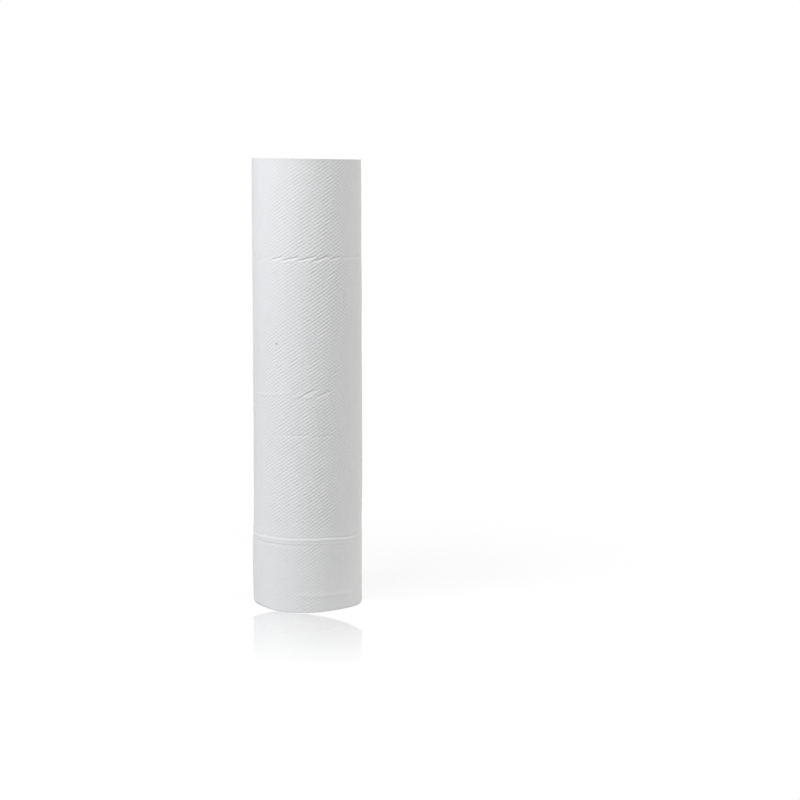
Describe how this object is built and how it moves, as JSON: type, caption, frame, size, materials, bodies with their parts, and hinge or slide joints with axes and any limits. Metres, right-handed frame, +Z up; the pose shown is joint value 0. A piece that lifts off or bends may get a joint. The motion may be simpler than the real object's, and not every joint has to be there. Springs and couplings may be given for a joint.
{
  "type": "exam table paper roll",
  "caption": "Tall roll of white embossed two-ply exam table paper wound on a grey board tube, standing on end.",
  "frame": {"origin": "middle of the sawn end that the roll stands on", "axes": "+Z up the roll's axis to the other sawn end, +Y to the back, where the paper's loose edge lies"},
  "size_m": [0.1238, 0.1238, 0.5],
  "materials": {
    "embossed_tissue": "soft matte white crepe tissue, embossed all over with small dots in staggered rows",
    "core_board": "matte grey-mauve recycled board with a spiral seam"
  },
  "bodies": {
    "root": {"paper_roll": "embossed_tissue", "core_tube": "core_board"}
  },
  "joints": []
}
